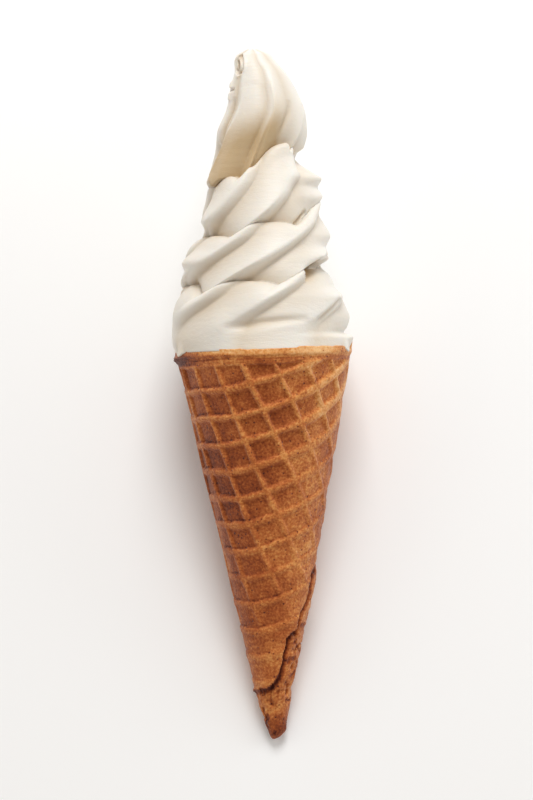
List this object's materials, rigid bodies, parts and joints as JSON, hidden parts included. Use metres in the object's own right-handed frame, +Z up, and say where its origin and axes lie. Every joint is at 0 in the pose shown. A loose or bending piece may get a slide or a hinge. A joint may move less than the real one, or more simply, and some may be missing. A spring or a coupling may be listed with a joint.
{
  "type": "soft serve ice cream cone",
  "caption": "Vanilla soft serve in a piped swirl on a rolled waffle cone, lying on its side along the cone's back.",
  "frame": {"origin": "centre of the whole part's footprint box, on the floor that the cone's back lies on", "axes": "+Y along the floor from the cone's tip towards the top of the swirl, +Z up, away from the floor, +X to the right of the shown side"},
  "size_m": [0.0692, 0.262, 0.0685],
  "materials": {
    "baked_wafer": "dull, porous baked wafer with golden ribs and darker browned recesses",
    "vanilla_soft_serve": "smooth, soft, slightly moist frozen cream"
  },
  "bodies": {
    "root": {"waffle_cone": "baked_wafer", "soft_serve": "vanilla_soft_serve"}
  },
  "joints": []
}
